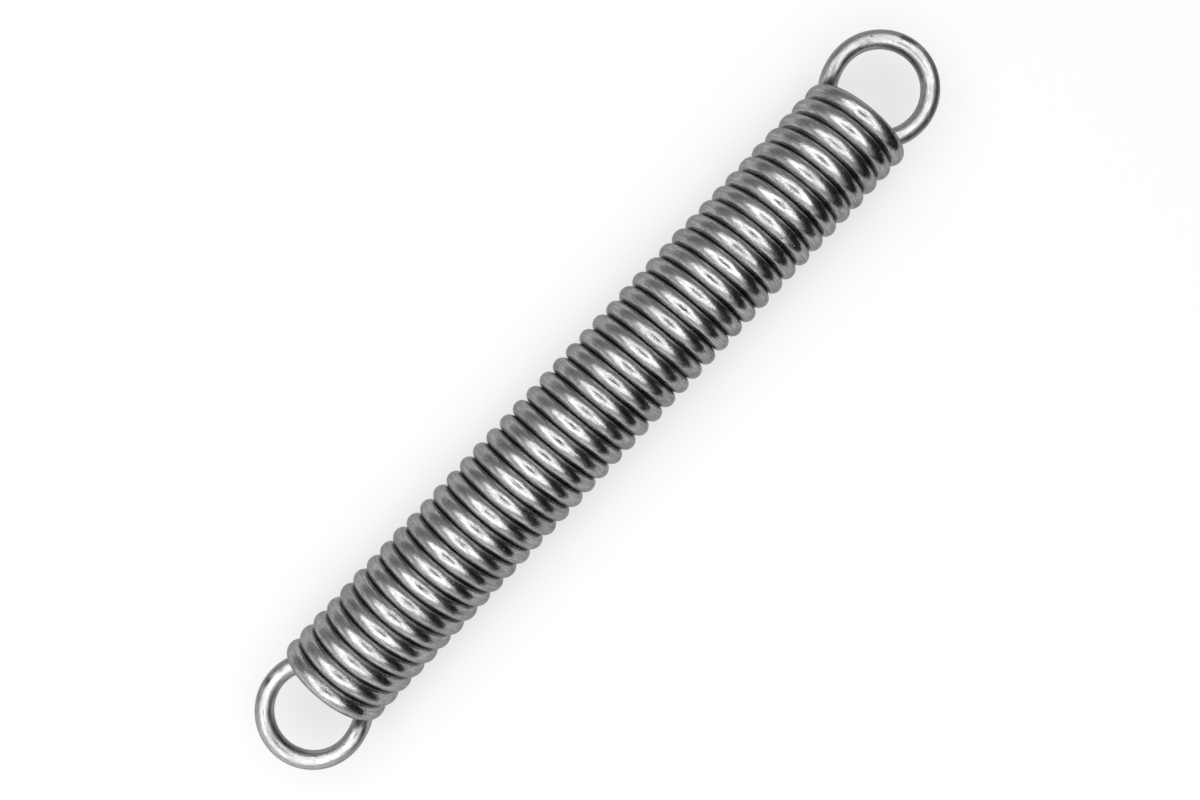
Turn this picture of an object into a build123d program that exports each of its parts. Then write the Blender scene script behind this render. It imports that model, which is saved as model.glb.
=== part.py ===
from build123d import *
import math
import os

# Extension spring wound from one length of round wire, in millimetres.
# It lies on its side: X runs along the coils, z = 0 is the surface it lies on, and both eyes
# lie flat at the height of the coil axis. The origin is under the middle of its outline.

# Driving dimensions.
WIRE_D = 4.0         # drawn wire
BODY_OD = 24.0       # outside of the close-wound coils
TURNS = 40.5         # turns from eye to eye, counted where the wire crosses the eyes' height
COIL_GAP = 0.03      # daylight between neighbouring coils, along the axis
TIP_GAP = 0.45       # each cut end stops this far short of the end coil

# Each end: the angle below the eye's height at which the wire leaves its coil, the direction
# in which it sets off into the eye, turned outwards from the axis, and the eye's inside.
LEFT_LIFT = 22.5
LEFT_HEADING = 6.5
LEFT_EYE_ID = 16.5
RIGHT_LIFT = 26.0
RIGHT_HEADING = 7.0
RIGHT_EYE_ID = 16.8

# Derived sizes.
wire_r = WIRE_D / 2
coil_r = (BODY_OD - WIRE_D) / 2
pitch = WIRE_D + COIL_GAP
axis_z = BODY_OD / 2
half_body = pitch * TURNS / 2


def end_form(lift_deg, heading_deg, eye_id):
    """Points of the bend and the eye at a +X end, where the end coil crosses the eye's height
    at x = 0, y = coil_r. The bend is one arc, tangent to the coil and to the eye's circle."""
    lift = math.radians(lift_deg)
    heading = math.radians(heading_deg)
    eye_r = (eye_id + WIRE_D) / 2

    start = Vector(-pitch * lift / math.tau, coil_r * math.cos(lift), axis_z - coil_r * math.sin(lift))
    rising = Vector(pitch / math.tau, coil_r * math.sin(lift), coil_r * math.cos(lift)).normalized()
    along = Vector(math.cos(heading), math.sin(heading), 0)
    # From a tangent arc's start to its corner is as far as from the corner to its end.
    corner = start + rising * ((axis_z - start.Z) / rising.Z)
    bend_end = corner + along * (corner - start).length
    centre = bend_end + Vector(math.sin(heading), -math.cos(heading), 0) * eye_r

    # The cut end's outer corner is what comes nearest to the coil.
    tip_angle = -math.acos((-TIP_GAP - centre.X) / (eye_r + wire_r))
    bend_angle = math.pi / 2 + heading

    def on_eye(angle):
        return centre + Vector(math.cos(angle), math.sin(angle), 0) * eye_r

    bend_r = (corner - start).length / math.tan(math.radians(rising.get_angle(along)) / 2)
    print(f"bend radius {bend_r:.3f}, eye centre {centre.X:.3f} out and {centre.Y:.3f} aside")
    return {
        "start": start,
        "rising": rising,
        "bend_end": bend_end,
        "middle": on_eye((tip_angle + bend_angle) / 2),
        "tip": on_eye(tip_angle),
    }


def end_edges(form):
    """The bend and the eye of one +X end, from the coil to the cut end."""
    bend = Edge.make_tangent_arc(form["start"], form["rising"], form["bend_end"])
    eye = Edge.make_three_point_arc(form["bend_end"], form["middle"], form["tip"])
    return [bend, eye]


def coil_edges():
    """The right-hand helix between the two bends, as equal lengths of about a turn each."""
    turns = TURNS - (LEFT_LIFT + RIGHT_LIFT) / 360
    count = math.ceil(turns)
    edges = []
    for index in range(count):
        turned = LEFT_LIFT / 360 + index * turns / count
        # Measured from the top of the coil towards -Y, which is where the left bend begins.
        angle = math.tau * (turned + 0.25)
        frame = Plane(
            origin=(pitch * turned - half_body, 0, axis_z),
            x_dir=(0, -math.sin(angle), math.cos(angle)),
            z_dir=(1, 0, 0),
        )
        edges.append(frame.from_local_coords(Edge.make_helix(pitch, pitch * turns / count, coil_r)))
    return edges


left = end_form(LEFT_LIFT, LEFT_HEADING, LEFT_EYE_ID)
right = end_form(RIGHT_LIFT, RIGHT_HEADING, RIGHT_EYE_ID)

# The left end is a +X end turned half a turn about Z. The right end is turned about the coil
# axis to where the last turn ends, which is no turn at all with a half turn over a whole count.
past_half = (TURNS - 0.5) % 1 * 360
to_left = Rot(0, 0, 180) * Pos(half_body, 0, 0)
to_right = Pos(half_body, 0, axis_z) * Rot(past_half, 0, 0) * Pos(0, 0, -axis_z)
edges = [to_left * edge for edge in end_edges(left)]
edges += coil_edges()
edges += [to_right * edge for edge in end_edges(right)]
path = Wire(edges)

section = Plane(origin=path @ 0, z_dir=path % 0) * Circle(wire_r)
spring = sweep(section, path=path, is_frenet=True)
# The two ends differ a little, so the middle of the outline isn't the middle of the coils.
outline = spring.bounding_box()
spring = Pos(-outline.center().X, -outline.center().Y, -outline.min.Z) * spring

os.makedirs("parts", exist_ok=True)
export_step(spring, "parts/spring.step")

print(f"wire length {path.length:.1f}, volume {spring.volume:.1f}")
print(f"section times length {math.pi * wire_r ** 2 * path.length:.1f}, valid {spring.is_valid}")
print(f"outline {outline.size}, middle {outline.center()}, lowest {outline.min.Z:.6f}")
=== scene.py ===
"""Looks of the extension spring: one length of drawn steel wire, lying on a pale floor."""

import math

import bpy
import numpy as np
from mathutils import Matrix, Vector


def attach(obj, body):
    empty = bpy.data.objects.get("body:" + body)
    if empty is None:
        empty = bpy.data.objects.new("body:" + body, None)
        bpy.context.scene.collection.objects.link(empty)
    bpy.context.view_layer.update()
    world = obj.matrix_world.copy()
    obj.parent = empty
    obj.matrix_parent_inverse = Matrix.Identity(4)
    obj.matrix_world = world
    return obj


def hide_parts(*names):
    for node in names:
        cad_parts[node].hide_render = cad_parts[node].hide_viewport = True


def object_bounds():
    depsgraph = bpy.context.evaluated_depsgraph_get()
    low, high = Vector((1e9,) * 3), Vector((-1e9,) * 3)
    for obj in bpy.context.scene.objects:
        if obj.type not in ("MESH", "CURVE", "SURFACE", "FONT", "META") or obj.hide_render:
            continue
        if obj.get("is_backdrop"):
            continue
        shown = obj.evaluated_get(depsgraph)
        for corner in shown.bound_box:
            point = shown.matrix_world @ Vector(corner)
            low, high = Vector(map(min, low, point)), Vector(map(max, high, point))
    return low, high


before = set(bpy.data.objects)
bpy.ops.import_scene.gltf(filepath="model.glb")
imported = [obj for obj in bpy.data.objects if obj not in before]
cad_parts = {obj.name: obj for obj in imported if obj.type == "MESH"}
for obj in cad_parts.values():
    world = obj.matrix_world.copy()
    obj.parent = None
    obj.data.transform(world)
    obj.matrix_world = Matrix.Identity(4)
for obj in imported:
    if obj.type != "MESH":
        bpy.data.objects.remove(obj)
cad_low, cad_high = (Vector(corner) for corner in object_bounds())

MM = 0.001

# The wire's own sizes, in metres, as the spring was wound.
WIRE_R = 2.0 * MM
COIL_R = 10.0 * MM
PITCH = 4.03 * MM
TURNS = 40.5
TIP_GAP = 0.45 * MM
CHAMFER = 0.22 * MM
AXIS_Z = COIL_R + WIRE_R
HALF_BODY = PITCH * TURNS / 2

# Each end: the angle below the eye's height where the wire leaves its coil, the direction in
# which it sets off into the eye, the mean radius of the eye, and the nicks that the bending
# tool left on it. Each nick has its place on the eye as an angle in degrees from the eye's
# apex, the side of the wire that it is on (0 is the top, +90 the outer side), its length along
# the wire and its width round it, and its depth, in millimetres.
LEFT_END = {
    "lift": math.radians(22.5),
    "heading": math.radians(6.5),
    "eye_r": 10.25 * MM,
    "nicks": [(-82, 30, 0.9, 0.6, 0.12), (-101, 18, 0.6, 0.5, 0.10), (-64, 36, 1.4, 0.5, 0.05)],
}
RIGHT_END = {
    "lift": math.radians(26.0),
    "heading": math.radians(7.0),
    "eye_r": 10.4 * MM,
    "nicks": [
        (18, 25, 0.9, 0.5, 0.13), (9, 30, 1.1, 0.45, 0.12), (-16, 40, 1.4, 0.5, 0.06),
        (-109, 40, 0.5, 0.5, 0.10),
    ],
}
# The depth at which the finish takes a nick as a full one.
FULL_NICK = 0.14 * MM

# The waviness of the coil: waves each of the radius and of the spacing, the slowest and
# quickest as waves per turn, their heights, and the turns over which they fade in at each end.
WAVE_SEED = 7
WAVES = 7
WAVE_RATES = (0.13, 1.9)
RADIUS_WAVE = 0.016 * MM
SPACING_WAVE = 0.006 * MM
WAVE_FADE = 1.5

# How finely the wire is drawn: rings along it, closer in the bends, and points round it.
RING_STEP = 0.9 * MM
BEND_STEP = 0.54 * MM
ROUND = 32


# ---------------------------------------------------------------- the line of the wire

def unit(vector):
    return vector / np.linalg.norm(vector)


def end_line(end):
    """Bend and eye of a +X end, in steps from the coil to the cut end, where the end coil
    crosses the eye's height at x = 0, y = COIL_R.

    The bend is a plane arc that starts along the rising coil and ends along the heading:
    start + r (sin a * rising + (1 - cos a) * inward). The eye is a circle at the height of the
    axis that sets off along the heading and runs clockwise, seen from above.
    Returns points, the reference across the wire, and each point's angle from the apex."""
    lift, heading, eye_r = end["lift"], end["heading"], end["eye_r"]
    start = np.array([
        -PITCH * lift / math.tau,
        COIL_R * math.cos(lift),
        AXIS_Z - COIL_R * math.sin(lift),
    ])
    rising = unit(np.array([PITCH / math.tau, COIL_R * math.sin(lift), COIL_R * math.cos(lift)]))
    along = np.array([math.cos(heading), math.sin(heading), 0.0])
    to_corner = (AXIS_Z - start[2]) / rising[2]
    bend_end = start + rising * to_corner + along * to_corner
    turned = math.acos(float(rising @ along))
    bend_r = to_corner / math.tan(turned / 2)
    inward = (along - math.cos(turned) * rising) / math.sin(turned)

    a = np.linspace(0, turned, math.ceil(bend_r * turned / BEND_STEP) + 1)[1:, None]
    bend = start + bend_r * (np.sin(a) * rising + (1 - np.cos(a)) * inward)
    # The reference turns with the wire, from along the coil axis to straight down.
    part = a / turned * math.pi / 2
    bend_across = np.cos(part) * [1.0, 0, 0] - np.sin(part) * [0, 0, 1.0]

    centre = bend_end + np.array([math.sin(heading), -math.cos(heading), 0]) * eye_r
    first = math.pi / 2 + heading
    last = -math.acos((-TIP_GAP - centre[0]) / (eye_r + WIRE_R))
    angle = np.linspace(first, last, math.ceil(eye_r * (first - last) / RING_STEP) + 1)[1:]
    eye = centre + eye_r * np.stack([np.cos(angle), np.sin(angle), np.zeros_like(angle)], 1)
    eye_across = np.tile([0, 0, -1.0], (len(angle), 1))

    nowhere = np.full(len(a), np.nan)
    return np.vstack([bend, eye]), np.vstack([bend_across, eye_across]), np.concatenate([nowhere, angle])


def coil_line():
    """The close-wound helix: x grows by one pitch a turn, and the wire turns from the top
    towards -Y. A little waviness of the radius and the spacing, a sum of slow sines that fades
    to nothing at both ends, keeps the turns from looking drawn by machine."""
    first = LEFT_END["lift"] / math.tau
    last = TURNS - RIGHT_END["lift"] / math.tau
    length = (last - first) * math.hypot(math.tau * COIL_R, PITCH)
    turned = np.linspace(first, last, math.ceil(length / RING_STEP) + 1)

    rng = np.random.default_rng(WAVE_SEED)
    fade = np.clip(np.minimum(turned - first, last - turned) / WAVE_FADE, 0, 1)
    per_turn = rng.uniform(*WAVE_RATES, 2 * WAVES)
    phase = rng.uniform(0, math.tau, 2 * WAVES)
    waves = np.sin(math.tau * np.outer(turned, per_turn) + phase)
    radius = COIL_R + fade * waves[:, :WAVES].sum(1) * RADIUS_WAVE
    shift = fade * waves[:, WAVES:].sum(1) * SPACING_WAVE

    # Turns are counted from the eyes' height, which is a quarter turn past the top.
    angle = math.tau * (turned + 0.25)
    points = np.stack([
        PITCH * turned - HALF_BODY + shift,
        -radius * np.sin(angle),
        AXIS_Z + radius * np.cos(angle),
    ], 1)
    across = np.tile([1.0, 0, 0], (len(turned), 1))
    return points, across, np.full(len(turned), np.nan)


def wire_line():
    """The whole line from the left cut end to the right one. The left end is a +X end turned
    half a turn about Z, read backwards. Returns points, the reference across the wire, which
    end each point is of (-1 left, 0 the coil, +1 right), and its angle from that eye's apex."""
    left, left_across, left_angle = end_line(LEFT_END)
    right, right_across, right_angle = end_line(RIGHT_END)
    coil, coil_across, no_angle = coil_line()
    half_turn = np.array([-1.0, -1.0, 1.0])
    left = (left + [HALF_BODY, 0, 0]) * half_turn
    right = right + [HALF_BODY, 0, 0]
    # Half a turn leaves the reference along -X at the coil, so it changes sign there.
    left_across = -left_across * half_turn
    points = np.vstack([left[::-1], coil, right])
    across = np.vstack([left_across[::-1], coil_across, right_across])
    end_of = np.concatenate([-np.ones(len(left)), np.zeros(len(coil)), np.ones(len(right))])
    angle = np.concatenate([left_angle[::-1], no_angle, right_angle])
    return points, across, end_of, angle


# ---------------------------------------------------------------- the wire's surface

def nick_depths(side, end_of, eye_angle):
    """How far the nicks go into the wire, over the grid of rings and points round them: each
    is a shallow dip that falls off as a bell curve along and round the wire."""
    nick = np.zeros((len(end_of), len(side)))
    for which, end in ((-1, LEFT_END), (1, RIGHT_END)):
        for place, from_top, length, width, depth in end["nicks"]:
            away = np.where(end_of == which, eye_angle - math.radians(place), np.nan) * end["eye_r"]
            # The reference points down on the right eye and up on the left one.
            middle = -which * math.radians(90 - from_top)
            round_by = (side - middle + math.pi) % math.tau - math.pi
            fall_along = np.nan_to_num(np.exp(-(away / (length * MM)) ** 2), nan=0.0)
            fall_round = np.exp(-(round_by * WIRE_R / (width * MM)) ** 2)
            nick += depth * MM * np.outer(fall_along, fall_round)
    return nick


def spring_mesh():
    """The wire as a round section carried along its line: point (s, v) lies at
    line(s) + r (cos v * out + sin v * across), where across is the reference made square to
    the line, and out is square to both, away from the middle of the coil or eye.
    Each cut end is closed by a narrow chamfer and a flat face.
    Returns points, the wire's quads, the end faces, and for each point its place on the wire,
    whether it is on the coil, and the depth of its nick as a share of a full one."""
    line, reference, end_of, eye_angle = wire_line()
    tangent = np.gradient(line, axis=0)
    tangent /= np.linalg.norm(tangent, axis=1, keepdims=True)
    across = reference - (reference * tangent).sum(1, keepdims=True) * tangent
    across /= np.linalg.norm(across, axis=1, keepdims=True)
    out = np.cross(tangent, across)
    steps = np.linalg.norm(np.diff(line, axis=0), axis=1)
    along = np.concatenate([[0], np.cumsum(steps)])

    side = np.arange(ROUND) * math.tau / ROUND
    nick = nick_depths(side, end_of, eye_angle)
    radius = WIRE_R - nick

    # A chamfer at each cut end: one more ring, a little narrower and further out.
    line = np.vstack([line[:1] - tangent[:1] * CHAMFER, line, line[-1:] + tangent[-1:] * CHAMFER])
    across, out = (np.vstack([rows[:1], rows, rows[-1:]]) for rows in (across, out))
    radius = np.vstack([radius[:1] - CHAMFER, radius, radius[-1:] - CHAMFER])
    nick = np.vstack([nick[:1], nick, nick[-1:]])
    along = np.concatenate([[along[0] - CHAMFER], along, [along[-1] + CHAMFER]])
    on_coil = np.concatenate([[0], end_of == 0, [0]])

    cos_side, sin_side = np.cos(side)[None, :, None], np.sin(side)[None, :, None]
    grid = line[:, None] + radius[:, :, None] * (cos_side * out[:, None] + sin_side * across[:, None])
    rings = len(line)
    points = np.vstack([grid.reshape(-1, 3), line[:1], line[-1:]])

    # Place on the wire: distance along it, then the section's own two directions.
    place = np.stack([
        np.repeat(along[:, None], ROUND, 1),
        radius * np.cos(side),
        radius * np.sin(side),
    ], 2).reshape(-1, 3)
    place = np.vstack([place, [along[0], 0, 0], [along[-1], 0, 0]])
    coil_share = np.concatenate([np.repeat(on_coil, ROUND), [0, 0]])
    nick_share = np.concatenate([nick.ravel() / FULL_NICK, [0, 0]])

    ring, spot = np.meshgrid(np.arange(rings - 1), np.arange(ROUND), indexing="ij")
    after = (spot + 1) % ROUND
    quads = np.stack([
        ring * ROUND + spot,
        (ring + 1) * ROUND + spot,
        (ring + 1) * ROUND + after,
        ring * ROUND + after,
    ], 2).reshape(-1, 4)
    # The flat faces run round from a point in the middle of each cut end.
    spot = np.arange(ROUND)
    after = (spot + 1) % ROUND
    last = (rings - 1) * ROUND
    first_cap = np.stack([np.full(ROUND, rings * ROUND), spot, after], 1)
    last_cap = np.stack([np.full(ROUND, rings * ROUND + 1), last + after, last + spot], 1)
    return points, quads, np.vstack([first_cap, last_cap]), place, coil_share, nick_share


def add_object(name, mesh, material):
    thing = bpy.data.objects.new(name, mesh)
    bpy.context.scene.collection.objects.link(thing)
    mesh.materials.append(material)
    return thing


def make_spring():
    """The wound wire, in the place of its CAD node."""
    points, quads, caps, place, coil_share, nick_share = spring_mesh()
    # The middle of the outline is where the frame has it.
    middle = (points.min(0) + points.max(0)) / 2
    points[:, :2] += np.array((cad_low + cad_high) / 2)[:2] - middle[:2]

    # The first quad's normal and its place tell which way the faces turn.
    corner = points[quads[0]]
    normal = np.cross(corner[1] - corner[0], corner[3] - corner[0])
    if normal @ (corner.mean(0) - points[quads[:ROUND]].mean((0, 1))) < 0:
        quads, caps = quads[:, ::-1], caps[:, ::-1]

    mesh = bpy.data.meshes.new("spring_wire")
    mesh.from_pydata(points.tolist(), [], quads.tolist() + caps.tolist())
    smooth = np.ones(len(mesh.polygons), dtype=bool)
    smooth[len(quads):] = False
    mesh.polygons.foreach_set("use_smooth", smooth)
    stored = mesh.attributes.new("wire_place", "FLOAT_VECTOR", "POINT")
    stored.data.foreach_set("vector", place.astype(np.float32).ravel())
    for name, values in (("on_coil", coil_share), ("nick", nick_share)):
        stored = mesh.attributes.new(name, "FLOAT", "POINT")
        stored.data.foreach_set("value", values.astype(np.float32))
    mesh.update()
    piece = add_object("spring_wire", mesh, drawn_steel())
    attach(piece, "root")
    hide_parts("spring")


# ---------------------------------------------------------------- finishes

STREAK_DARK = (0.25, 0.25, 0.252, 1)
STREAK_PALE = (0.37, 0.37, 0.372, 1)
MOTTLE_GREY = (0.16, 0.16, 0.16, 1)
SCRATCH_BRIGHT = (0.58, 0.58, 0.58, 1)
STAIN_DULL = (0.13, 0.128, 0.125, 1)
PIT_DARK = (0.04, 0.038, 0.036, 1)
# Painted light: the colour that the flanks next to where the turns touch are painted towards, for the light
# the turns reflect onto each other.
PAINTED_FLANK_LIGHT = (0.62, 0.62, 0.62, 1)
# Painted shade: the dark line painted where the turns touch.
SEAM_PAINTED_SHADE = (0.01, 0.01, 0.01, 1)
STEEL_TINT = (0.55, 0.55, 0.55, 1)
RELIEF = 0.045 * MM
# The eyes have a more even, satin surface than the coil: their share of its mottle, and what
# is added to their roughness.
EYE_MOTTLE = 0.35
EYE_SATIN = 0.13

FLOOR_COLOUR = (0.63, 0.63, 0.63, 1)
# The floor's share of plain white near the spring, and the distances between which that share
# grows to all of it.
WHITE_SHARE = 0.5
WHITE_FADE = (0.2, 0.8)


class Nodes:
    """Short forms for building a node tree."""

    def __init__(self, tree):
        self.tree = tree
        tree.nodes.clear()

    def add(self, kind, inputs=(), **settings):
        node = self.tree.nodes.new(kind)
        for name, value in settings.items():
            setattr(node, name, value)
        for name, value in dict(inputs).items():
            self.put(node, name, value)
        return node

    def put(self, node, name, value):
        if isinstance(value, bpy.types.NodeSocket):
            self.tree.links.new(value, node.inputs[name])
        else:
            node.inputs[name].default_value = value

    def maths(self, operation, *values, clamp=False):
        node = self.add("ShaderNodeMath", operation=operation, use_clamp=clamp)
        for index, value in enumerate(values):
            self.put(node, index, value)
        return node.outputs[0]

    def noise(self, place, lumps, detail, rough=0.55):
        """Noise with its own number of lumps per metre along each direction of place."""
        mapped = self.add("ShaderNodeMapping", {"Vector": place, "Scale": lumps})
        grain = self.add("ShaderNodeTexNoise", {
            "Vector": mapped.outputs[0], "Scale": 1.0, "Detail": detail, "Roughness": rough,
        })
        return grain.outputs[0]

    def band(self, value, low, high, to_low=0.0, to_high=1.0):
        """The value's stretch from low to high, spread over to_low to to_high."""
        node = self.add("ShaderNodeMapRange", {
            "Value": value, "From Min": low, "From Max": high, "To Min": to_low, "To Max": to_high,
        })
        return node.outputs[0]

    def blend(self, share, first, second):
        """A colour between two: all first at share 0, all second at share 1."""
        # A Mix node has its colours at sockets 6 and 7, and its colour result at 2.
        node = self.add("ShaderNodeMix", {0: share, 6: first, 7: second}, data_type="RGBA")
        return node.outputs[2]


def blank_material(name):
    material = bpy.data.materials.new(name)
    material.use_nodes = True
    return material, Nodes(material.node_tree)


def drawn_steel():
    """Bare cold-drawn spring steel: fine streaks and scratches along the wire, a mottle, dull stains, small
    pits and darkened nicks. It also has painted light and shade: the flanks near where the turns touch are
    painted brighter, for the light the turns reflect onto each other, and a dark line of painted shade runs
    where the turns touch. The patterns follow the stored place on the wire, so they run along it."""
    material, nodes = blank_material("drawn_steel")
    place = nodes.add("ShaderNodeAttribute", attribute_name="wire_place").outputs["Vector"]
    on_coil = nodes.add("ShaderNodeAttribute", attribute_name="on_coil").outputs["Fac"]
    nick = nodes.add("ShaderNodeAttribute", attribute_name="nick").outputs["Fac"]

    streaks = nodes.noise(place, (70, 1900, 1900), detail=4)
    scratches = nodes.noise(place, (450, 4200, 4200), detail=3)
    mottle = nodes.noise(place, (1100, 2100, 2100), detail=4, rough=0.65)
    stains = nodes.noise(place, (170, 380, 380), detail=5, rough=0.65)
    pits = nodes.band(nodes.noise(place, (900, 1500, 1500), detail=2), 0.70, 0.76)

    # How far round the wire a point is from where the turns touch: 0 there, 1 at the crest.
    crest = nodes.add("ShaderNodeSeparateXYZ", {"Vector": place}).outputs["Y"]
    crest = nodes.maths("ABSOLUTE", nodes.maths("DIVIDE", crest, WIRE_R))
    # Painted shade: the seam mask darkens the colour where the turns touch, and also makes the wire rougher
    # there.
    seam = nodes.maths("MULTIPLY", nodes.band(crest, 0.0, 0.15, 1.0, 0.0), on_coil)
    # Painted light: a brighter band painted on each flank of the coil, near where the turns touch.
    flank_light_share = nodes.maths("MULTIPLY", nodes.band(crest, 0.3, 0.75, 0.25, 0.0), on_coil)
    mottle_share = nodes.band(on_coil, 0.0, 1.0, EYE_MOTTLE, 1.0)

    colour = nodes.blend(nodes.band(streaks, 0.32, 0.68), STREAK_DARK, STREAK_PALE)
    mottled = nodes.maths("MULTIPLY", nodes.band(mottle, 0.5, 0.7, 0.0, 0.6), mottle_share)
    for share, over in (
        (mottled, MOTTLE_GREY),
        (nodes.band(scratches, 0.52, 0.68, 0.0, 0.5), SCRATCH_BRIGHT),
        (nodes.band(stains, 0.52, 0.70, 0.0, 0.5), STAIN_DULL),
        (nodes.maths("MULTIPLY", pits, 0.8), PIT_DARK),
        (nodes.band(nick, 0.1, 0.6, 0.0, 0.75), PIT_DARK),
        (flank_light_share, PAINTED_FLANK_LIGHT),
        (nodes.maths("MULTIPLY", seam, 0.5), SEAM_PAINTED_SHADE),
    ):
        colour = nodes.blend(share, colour, over)

    rough = nodes.band(stains, 0.35, 0.7, 0.13, 0.25)
    rough = nodes.maths("ADD", rough, nodes.band(mottle, 0.35, 0.65, -0.04, 0.08))
    rough = nodes.maths("ADD", rough, nodes.band(on_coil, 0.0, 1.0, EYE_SATIN, 0.0))
    rough = nodes.maths("ADD", rough, nodes.maths("MULTIPLY", seam, 0.3), clamp=True)

    height = nodes.maths("MULTIPLY", streaks, 0.5)
    height = nodes.maths("ADD", height, nodes.maths("MULTIPLY", scratches, 0.8))
    mottle_height = nodes.maths("MULTIPLY", mottle, nodes.maths("MULTIPLY", mottle_share, 1.2))
    height = nodes.maths("ADD", height, mottle_height)
    height = nodes.maths("ADD", height, nodes.maths("MULTIPLY", stains, 1.5))
    height = nodes.maths("SUBTRACT", height, nodes.maths("MULTIPLY", pits, 1.5))
    bump = nodes.add("ShaderNodeBump", {"Height": height, "Strength": 1.0, "Distance": RELIEF})

    shader = nodes.add("ShaderNodeBsdfPrincipled", {
        "Base Color": colour, "Roughness": rough, "Metallic": 1.0, "Normal": bump.outputs[0],
        "Specular Tint": STEEL_TINT,
    })
    nodes.add("ShaderNodeOutputMaterial", {"Surface": shader.outputs[0]})
    return material


def dull_shader(nodes, colour):
    """A surface without gloss, for the floor and the cards."""
    shader = nodes.add("ShaderNodeBsdfPrincipled", {
        "Base Color": colour, "Roughness": 0.9, "Specular IOR Level": 0.0,
    })
    return shader.outputs[0]


def card_stock(name, level):
    material, nodes = blank_material(name)
    nodes.add("ShaderNodeOutputMaterial", {"Surface": dull_shader(nodes, (level, level, level, 1))})
    return material


def floor_paper():
    """The floor's paper. To the camera, to gloss and through glass it shows as part plain
    white, so that it stays pale and still keeps the spring's shadow. Away from the spring it
    goes over to plain white, and its edge doesn't show."""
    material, nodes = blank_material("floor_paper")
    path = nodes.add("ShaderNodeLightPath").outputs
    seen = nodes.maths("MAXIMUM", path["Is Camera Ray"], path["Is Glossy Ray"])
    seen = nodes.maths("MAXIMUM", seen, path["Is Transmission Ray"])
    place = nodes.add("ShaderNodeTexCoord").outputs["Object"]
    far = nodes.add("ShaderNodeVectorMath", {0: place}, operation="LENGTH").outputs["Value"]
    share = nodes.maths("MULTIPLY", seen, nodes.band(far, *WHITE_FADE, WHITE_SHARE, 1.0))
    white = nodes.add("ShaderNodeEmission", {"Color": (1, 1, 1, 1), "Strength": 1.0})
    mixed = nodes.add("ShaderNodeMixShader", {
        0: share, 1: dull_shader(nodes, FLOOR_COLOUR), 2: white.outputs[0],
    })
    nodes.add("ShaderNodeOutputMaterial", {"Surface": mixed.outputs[0]})
    return material


# ---------------------------------------------------------------- camera, floor and light

CAMERA_AT = Vector((4.58, -8.76, 261.3)) * MM
LOOK_AT = Vector((0.89, -0.61, 12.0)) * MM
PICTURE_TURN = math.radians(-46.81)
LENS = 36.03
FILM_WIDTH = 36.0

FLOOR_HALF = 1.5

TENT_AT = (-0.06, 0.0, 0.5)
TENT_TURN = math.radians(45)
TENT_ACROSS = 0.88
TENT_WATTS = 6.4

LENS_CARD_HEIGHT = 0.30
LENS_CARD_R = 0.085
LENS_CARD_LEVEL = 0.05
# The low cards that the wire mirrors on its two long sides.
FLAGS = [
    {"name": "black_flag", "foot": Vector((0.045, -0.09, 0.0)), "half": 0.20, "height": 0.04, "level": 0.03},
    {"name": "grey_flag", "foot": Vector((0.0, 0.12, 0.0)), "half": 0.20, "height": 0.03, "level": 0.50},
]

# The room that the wire mirrors. Each edge is a pair of cosines from its direction, between
# which that part of the room comes in, and the low strip ends where the upward one is STRIP_TOP.
UP_WAY = Vector((0.0, 0.0, 1.0))
BRIGHT_WAY = Vector((-1.0, 0.0, 0.0))
FAR_WAY = Vector((0.0, 1.0, 0.05)).normalized()
DARK_WAY = Vector((0.45, -0.85, 0.10)).normalized()
ROOM_LEVEL = 0.72
SIDE_SWING = 0.4
FAR_WALL_DIM = 0.45
FAR_WALL_EDGE = (0.65, 0.98)
DOORWAY_EDGE = (0.45, 0.92)
DARK_LEVEL = 0.02
STRIP_LEVEL = 1.4
STRIP_EDGE = (0.3, 1.0)
STRIP_TOP = 0.35
DIFFUSE_LEVEL = 0.35


def add_sheet(name, corners, material, mirrored_only=False):
    """One flat sheet of the set. A sheet that is mirrored only shows in reflections, and
    casts no shadow."""
    mesh = bpy.data.meshes.new(name)
    mesh.from_pydata(corners, [], [tuple(range(len(corners)))])
    sheet = add_object(name, mesh, material)
    if mirrored_only:
        sheet.visible_camera = False
        sheet.visible_diffuse = False
        sheet.visible_shadow = False
        sheet.visible_transmission = False
    sheet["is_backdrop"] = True


def make_floor():
    corners = [(-1, -1), (1, -1), (1, 1), (-1, 1)]
    corners = [(x * FLOOR_HALF, y * FLOOR_HALF, 0.0) for x, y in corners]
    add_sheet("floor", corners, floor_paper())


def make_lens_card():
    """The dark round of a lens in the middle of the light, which the wire mirrors: points at
    even angles, radius times (cos, sin), about the camera's line down."""
    angle = np.linspace(0, math.tau, 48, endpoint=False)
    ring = np.stack([np.cos(angle), np.sin(angle), np.zeros_like(angle)], 1) * LENS_CARD_R
    ring += [CAMERA_AT[0], CAMERA_AT[1], LENS_CARD_HEIGHT]
    add_sheet("lens_card", ring.tolist(), card_stock("lens_black", LENS_CARD_LEVEL), mirrored_only=True)


def make_flag(name, foot, half, height, level):
    """A low card standing on the floor beside the spring, facing it."""
    side = foot.cross(UP_WAY).normalized() * half
    top = UP_WAY * height
    corners = [foot - side, foot + side, foot + side + top, foot - side + top]
    add_sheet(name, corners, card_stock(name, level), mirrored_only=True)


def make_light():
    """A square soft light overhead, cornerwise to the spring, as the top of a light tent."""
    lamp = bpy.data.lights.new("tent_top", "AREA")
    lamp.shape = "SQUARE"
    lamp.size = TENT_ACROSS
    lamp.energy = TENT_WATTS
    light = bpy.data.objects.new("tent_top", lamp)
    light.location = TENT_AT
    light.rotation_euler = (0, 0, TENT_TURN)
    bpy.context.scene.collection.objects.link(light)


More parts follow.
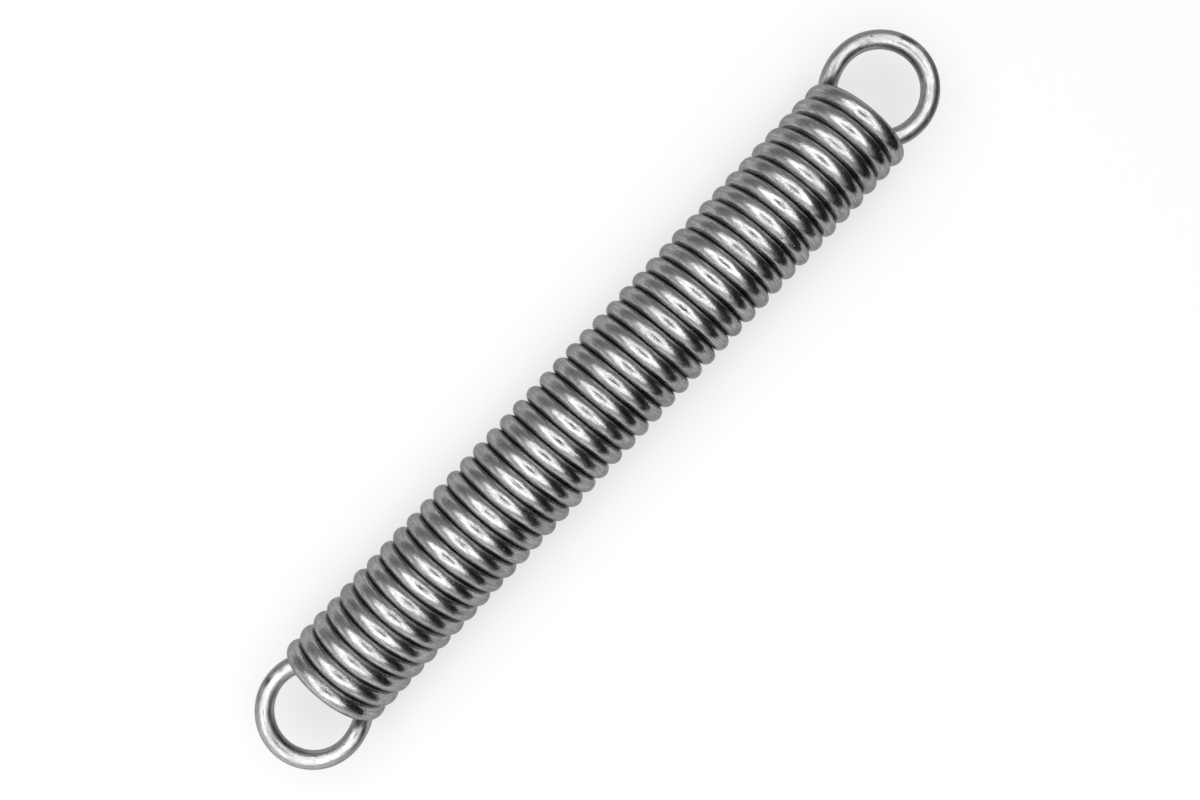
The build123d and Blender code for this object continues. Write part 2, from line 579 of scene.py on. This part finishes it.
def make_world():
    """The camera sees white all round. The wire mirrors a pale room that is brightest on the
    -X side, most of all in a low strip along the floor, with a dark doorway on the -Y side and
    a dimmer wall opposite. The floor gets only a little of the room's light."""
    world = bpy.data.worlds.new("room")
    world.use_nodes = True
    nodes = Nodes(world.node_tree)
    way = nodes.add("ShaderNodeTexCoord").outputs["Generated"]

    def towards(direction):
        node = nodes.add("ShaderNodeVectorMath", {0: way, 1: direction}, operation="DOT_PRODUCT")
        return node.outputs["Value"]

    dim, bright = ROOM_LEVEL * (1 - SIDE_SWING), ROOM_LEVEL * (1 + SIDE_SWING)
    level = nodes.band(towards(BRIGHT_WAY), -1.0, 1.0, dim, bright)
    far_wall = nodes.band(towards(FAR_WAY), *FAR_WALL_EDGE, 1.0, FAR_WALL_DIM)
    level = nodes.maths("MULTIPLY", level, far_wall)
    strip = nodes.band(towards(UP_WAY), 0.0, STRIP_TOP, STRIP_LEVEL, 0.0)
    strip = nodes.maths("MULTIPLY", strip, nodes.band(towards(BRIGHT_WAY), *STRIP_EDGE))
    level = nodes.maths("ADD", level, strip)
    doorway = nodes.band(towards(DARK_WAY), *DOORWAY_EDGE)
    level = nodes.maths("MULTIPLY", level, nodes.maths("SUBTRACT", 1.0, doorway))
    level = nodes.maths("ADD", level, DARK_LEVEL)
    path = nodes.add("ShaderNodeLightPath").outputs
    colour = nodes.blend(path["Is Diffuse Ray"], level, (DIFFUSE_LEVEL, DIFFUSE_LEVEL, DIFFUSE_LEVEL, 1))
    colour = nodes.blend(path["Is Camera Ray"], colour, (1, 1, 1, 1))
    background = nodes.add("ShaderNodeBackground", {"Color": colour, "Strength": 1.0})
    nodes.add("ShaderNodeOutputWorld", {"Surface": background.outputs[0]})
    bpy.context.scene.world = world


def make_camera():
    """Over the spring, looking almost straight down, with the picture turned so that the
    spring runs from its lower left to its upper right."""
    forward = (LOOK_AT - CAMERA_AT).normalized()
    right = Vector((math.cos(PICTURE_TURN), math.sin(PICTURE_TURN), 0))
    right = (right - right.dot(forward) * forward).normalized()
    up = right.cross(forward)
    turned = Matrix((right, up, -forward)).transposed()
    data = bpy.data.cameras.new("camera")
    data.lens = LENS
    data.sensor_width = FILM_WIDTH
    data.clip_start = 0.01
    data.clip_end = 20.0
    camera = bpy.data.objects.new("camera", data)
    camera.matrix_world = Matrix.Translation(CAMERA_AT) @ turned.to_4x4()
    bpy.context.scene.collection.objects.link(camera)
    bpy.context.scene.camera = camera


make_camera()
make_spring()
make_floor()
make_lens_card()
for flag in FLAGS:
    make_flag(**flag)
make_light()
make_world()
bpy.context.scene.view_settings.view_transform = "Standard"
